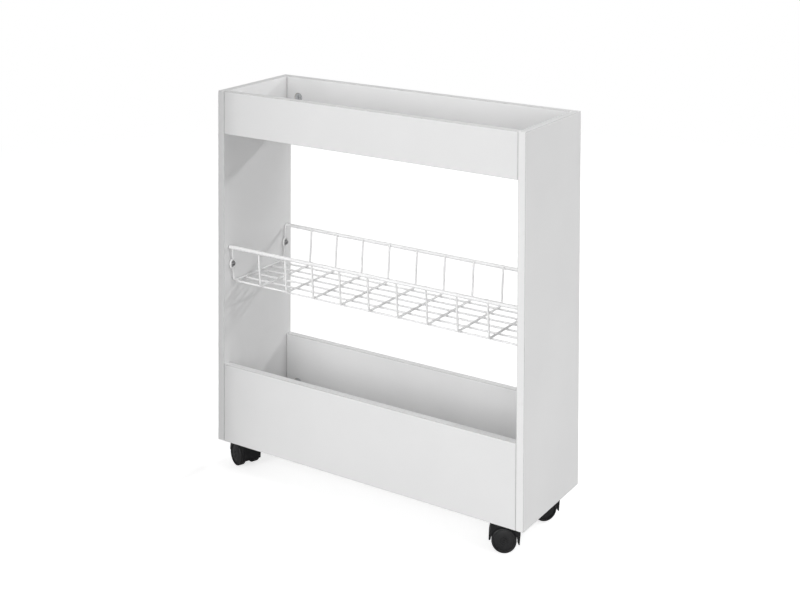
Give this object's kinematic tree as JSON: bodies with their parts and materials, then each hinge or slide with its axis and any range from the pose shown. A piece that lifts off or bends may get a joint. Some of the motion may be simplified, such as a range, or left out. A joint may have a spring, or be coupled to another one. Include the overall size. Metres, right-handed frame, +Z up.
{
  "type": "rolling pantry cart",
  "caption": "Slim white rolling pantry cart: board cabinet with an open top tray, a wire basket and a deep bottom bin, on twin-wheel swivel castors.",
  "frame": {"origin": "on the floor under the middle of the cart, midway between the side panels and between the front and back faces", "axes": "+X to the cart's right along its long side, +Y to its back, +Z up"},
  "size_m": [0.55, 0.176, 0.606],
  "materials": {
    "white_melamine": "satin white melamine-faced board",
    "white_powder_coat": "white powder coat",
    "black_plastic": "moulded black plastic",
    "wheel_plastic": "moulded dark grey plastic",
    "black_steel": "black coated steel",
    "axle_steel": "bright drawn steel",
    "zinc": "zinc plated"
  },
  "bodies": {
    "cart": {"left_side_panel": "white_melamine", "right_side_panel": "white_melamine", "tray_front_board": "white_melamine", "tray_back_board": "white_melamine", "tray_floor": "white_melamine", "bin_front_board": "white_melamine", "bin_back_board": "white_melamine", "bin_floor": "white_melamine", "wire_basket": "white_powder_coat", "basket_screw_front_left": "zinc", "basket_screw_front_right": "zinc", "basket_screw_back_left": "zinc", "basket_screw_back_right": "zinc", "tray_front_cam_lock_left": "zinc", "tray_front_cam_lock_right": "zinc", "tray_back_cam_lock_left": "zinc", "tray_back_cam_lock_right": "zinc", "bin_front_cam_lock_left": "zinc", "bin_front_cam_lock_right": "zinc", "bin_back_cam_lock_left": "zinc", "bin_back_cam_lock_right": "zinc", "front_left_castor_plate": "black_steel", "front_left_plate_screw_1": "zinc", "front_left_plate_screw_2": "zinc", "front_left_plate_screw_3": "zinc", "front_left_plate_screw_4": "zinc", "front_right_castor_plate": "black_steel", "front_right_plate_screw_1": "zinc", "front_right_plate_screw_2": "zinc", "front_right_plate_screw_3": "zinc", "front_right_plate_screw_4": "zinc", "back_left_castor_plate": "black_steel", "back_left_plate_screw_1": "zinc", "back_left_plate_screw_2": "zinc", "back_left_plate_screw_3": "zinc", "back_left_plate_screw_4": "zinc", "back_right_castor_plate": "black_steel", "back_right_plate_screw_1": "zinc", "back_right_plate_screw_2": "zinc", "back_right_plate_screw_3": "zinc", "back_right_plate_screw_4": "zinc"},
    "front_left_castor": {"front_left_castor_housing": "black_plastic", "front_left_castor_axle": "axle_steel"},
    "front_left_wheel_left": {"front_left_castor_wheel_left": "wheel_plastic"},
    "front_left_wheel_right": {"front_left_castor_wheel_right": "wheel_plastic"},
    "front_right_castor": {"front_right_castor_housing": "black_plastic", "front_right_castor_axle": "axle_steel"},
    "front_right_wheel_left": {"front_right_castor_wheel_left": "wheel_plastic"},
    "front_right_wheel_right": {"front_right_castor_wheel_right": "wheel_plastic"},
    "back_left_castor": {"back_left_castor_housing": "black_plastic", "back_left_castor_axle": "axle_steel"},
    "back_left_wheel_left": {"back_left_castor_wheel_left": "wheel_plastic"},
    "back_left_wheel_right": {"back_left_castor_wheel_right": "wheel_plastic"},
    "back_right_castor": {"back_right_castor_housing": "black_plastic", "back_right_castor_axle": "axle_steel"},
    "back_right_wheel_left": {"back_right_castor_wheel_left": "wheel_plastic"},
    "back_right_wheel_right": {"back_right_castor_wheel_right": "wheel_plastic"}
  },
  "joints": [
    {"name": "front_left_swivel", "type": "hinge", "parent": "cart", "child": "front_left_castor", "pos_m": [-0.239, -0.057, 0.0412], "axis": [0, 0, 1], "continuous": true},
    {"name": "front_left_wheel_left_spin", "type": "hinge", "parent": "front_left_castor", "child": "front_left_wheel_left", "pos_m": [-0.25193, -0.06314, 0.018], "axis": [-0.3907, -0.9205, 0], "continuous": true},
    {"name": "front_left_wheel_right_spin", "type": "hinge", "parent": "front_left_castor", "child": "front_left_wheel_right", "pos_m": [-0.24356, -0.04344, 0.018], "axis": [-0.3907, -0.9205, 0], "continuous": true},
    {"name": "front_right_swivel", "type": "hinge", "parent": "cart", "child": "front_right_castor", "pos_m": [0.239, -0.057, 0.0412], "axis": [0, 0, 1], "continuous": true},
    {"name": "front_right_wheel_left_spin", "type": "hinge", "parent": "front_right_castor", "child": "front_right_wheel_left", "pos_m": [0.23564, -0.07091, 0.018], "axis": [0.4695, -0.8829, 0], "continuous": true},
    {"name": "front_right_wheel_right_spin", "type": "hinge", "parent": "front_right_castor", "child": "front_right_wheel_right", "pos_m": [0.22559, -0.05201, 0.018], "axis": [0.4695, -0.8829, 0], "continuous": true},
    {"name": "back_left_swivel", "type": "hinge", "parent": "cart", "child": "back_left_castor", "pos_m": [-0.239, 0.057, 0.0412], "axis": [0, 0, 1], "continuous": true},
    {"name": "back_left_wheel_left_spin", "type": "hinge", "parent": "back_left_castor", "child": "back_left_wheel_left", "pos_m": [-0.24541, 0.04421, 0.018], "axis": [0.2588, -0.9659, 0], "continuous": true},
    {"name": "back_left_wheel_right_spin", "type": "hinge", "parent": "back_left_castor", "child": "back_left_wheel_right", "pos_m": [-0.25095, 0.06488, 0.018], "axis": [0.2588, -0.9659, 0], "continuous": true},
    {"name": "back_right_swivel", "type": "hinge", "parent": "cart", "child": "back_right_castor", "pos_m": [0.239, 0.057, 0.0412], "axis": [0, 0, 1], "continuous": true},
    {"name": "back_right_wheel_left_spin", "type": "hinge", "parent": "back_right_castor", "child": "back_right_wheel_left", "pos_m": [0.24084, 0.04281, 0.018], "axis": [0.7547, -0.6561, 0], "continuous": true},
    {"name": "back_right_wheel_right_spin", "type": "hinge", "parent": "back_right_castor", "child": "back_right_wheel_right", "pos_m": [0.22469, 0.05685, 0.018], "axis": [0.7547, -0.6561, 0], "continuous": true}
  ]
}
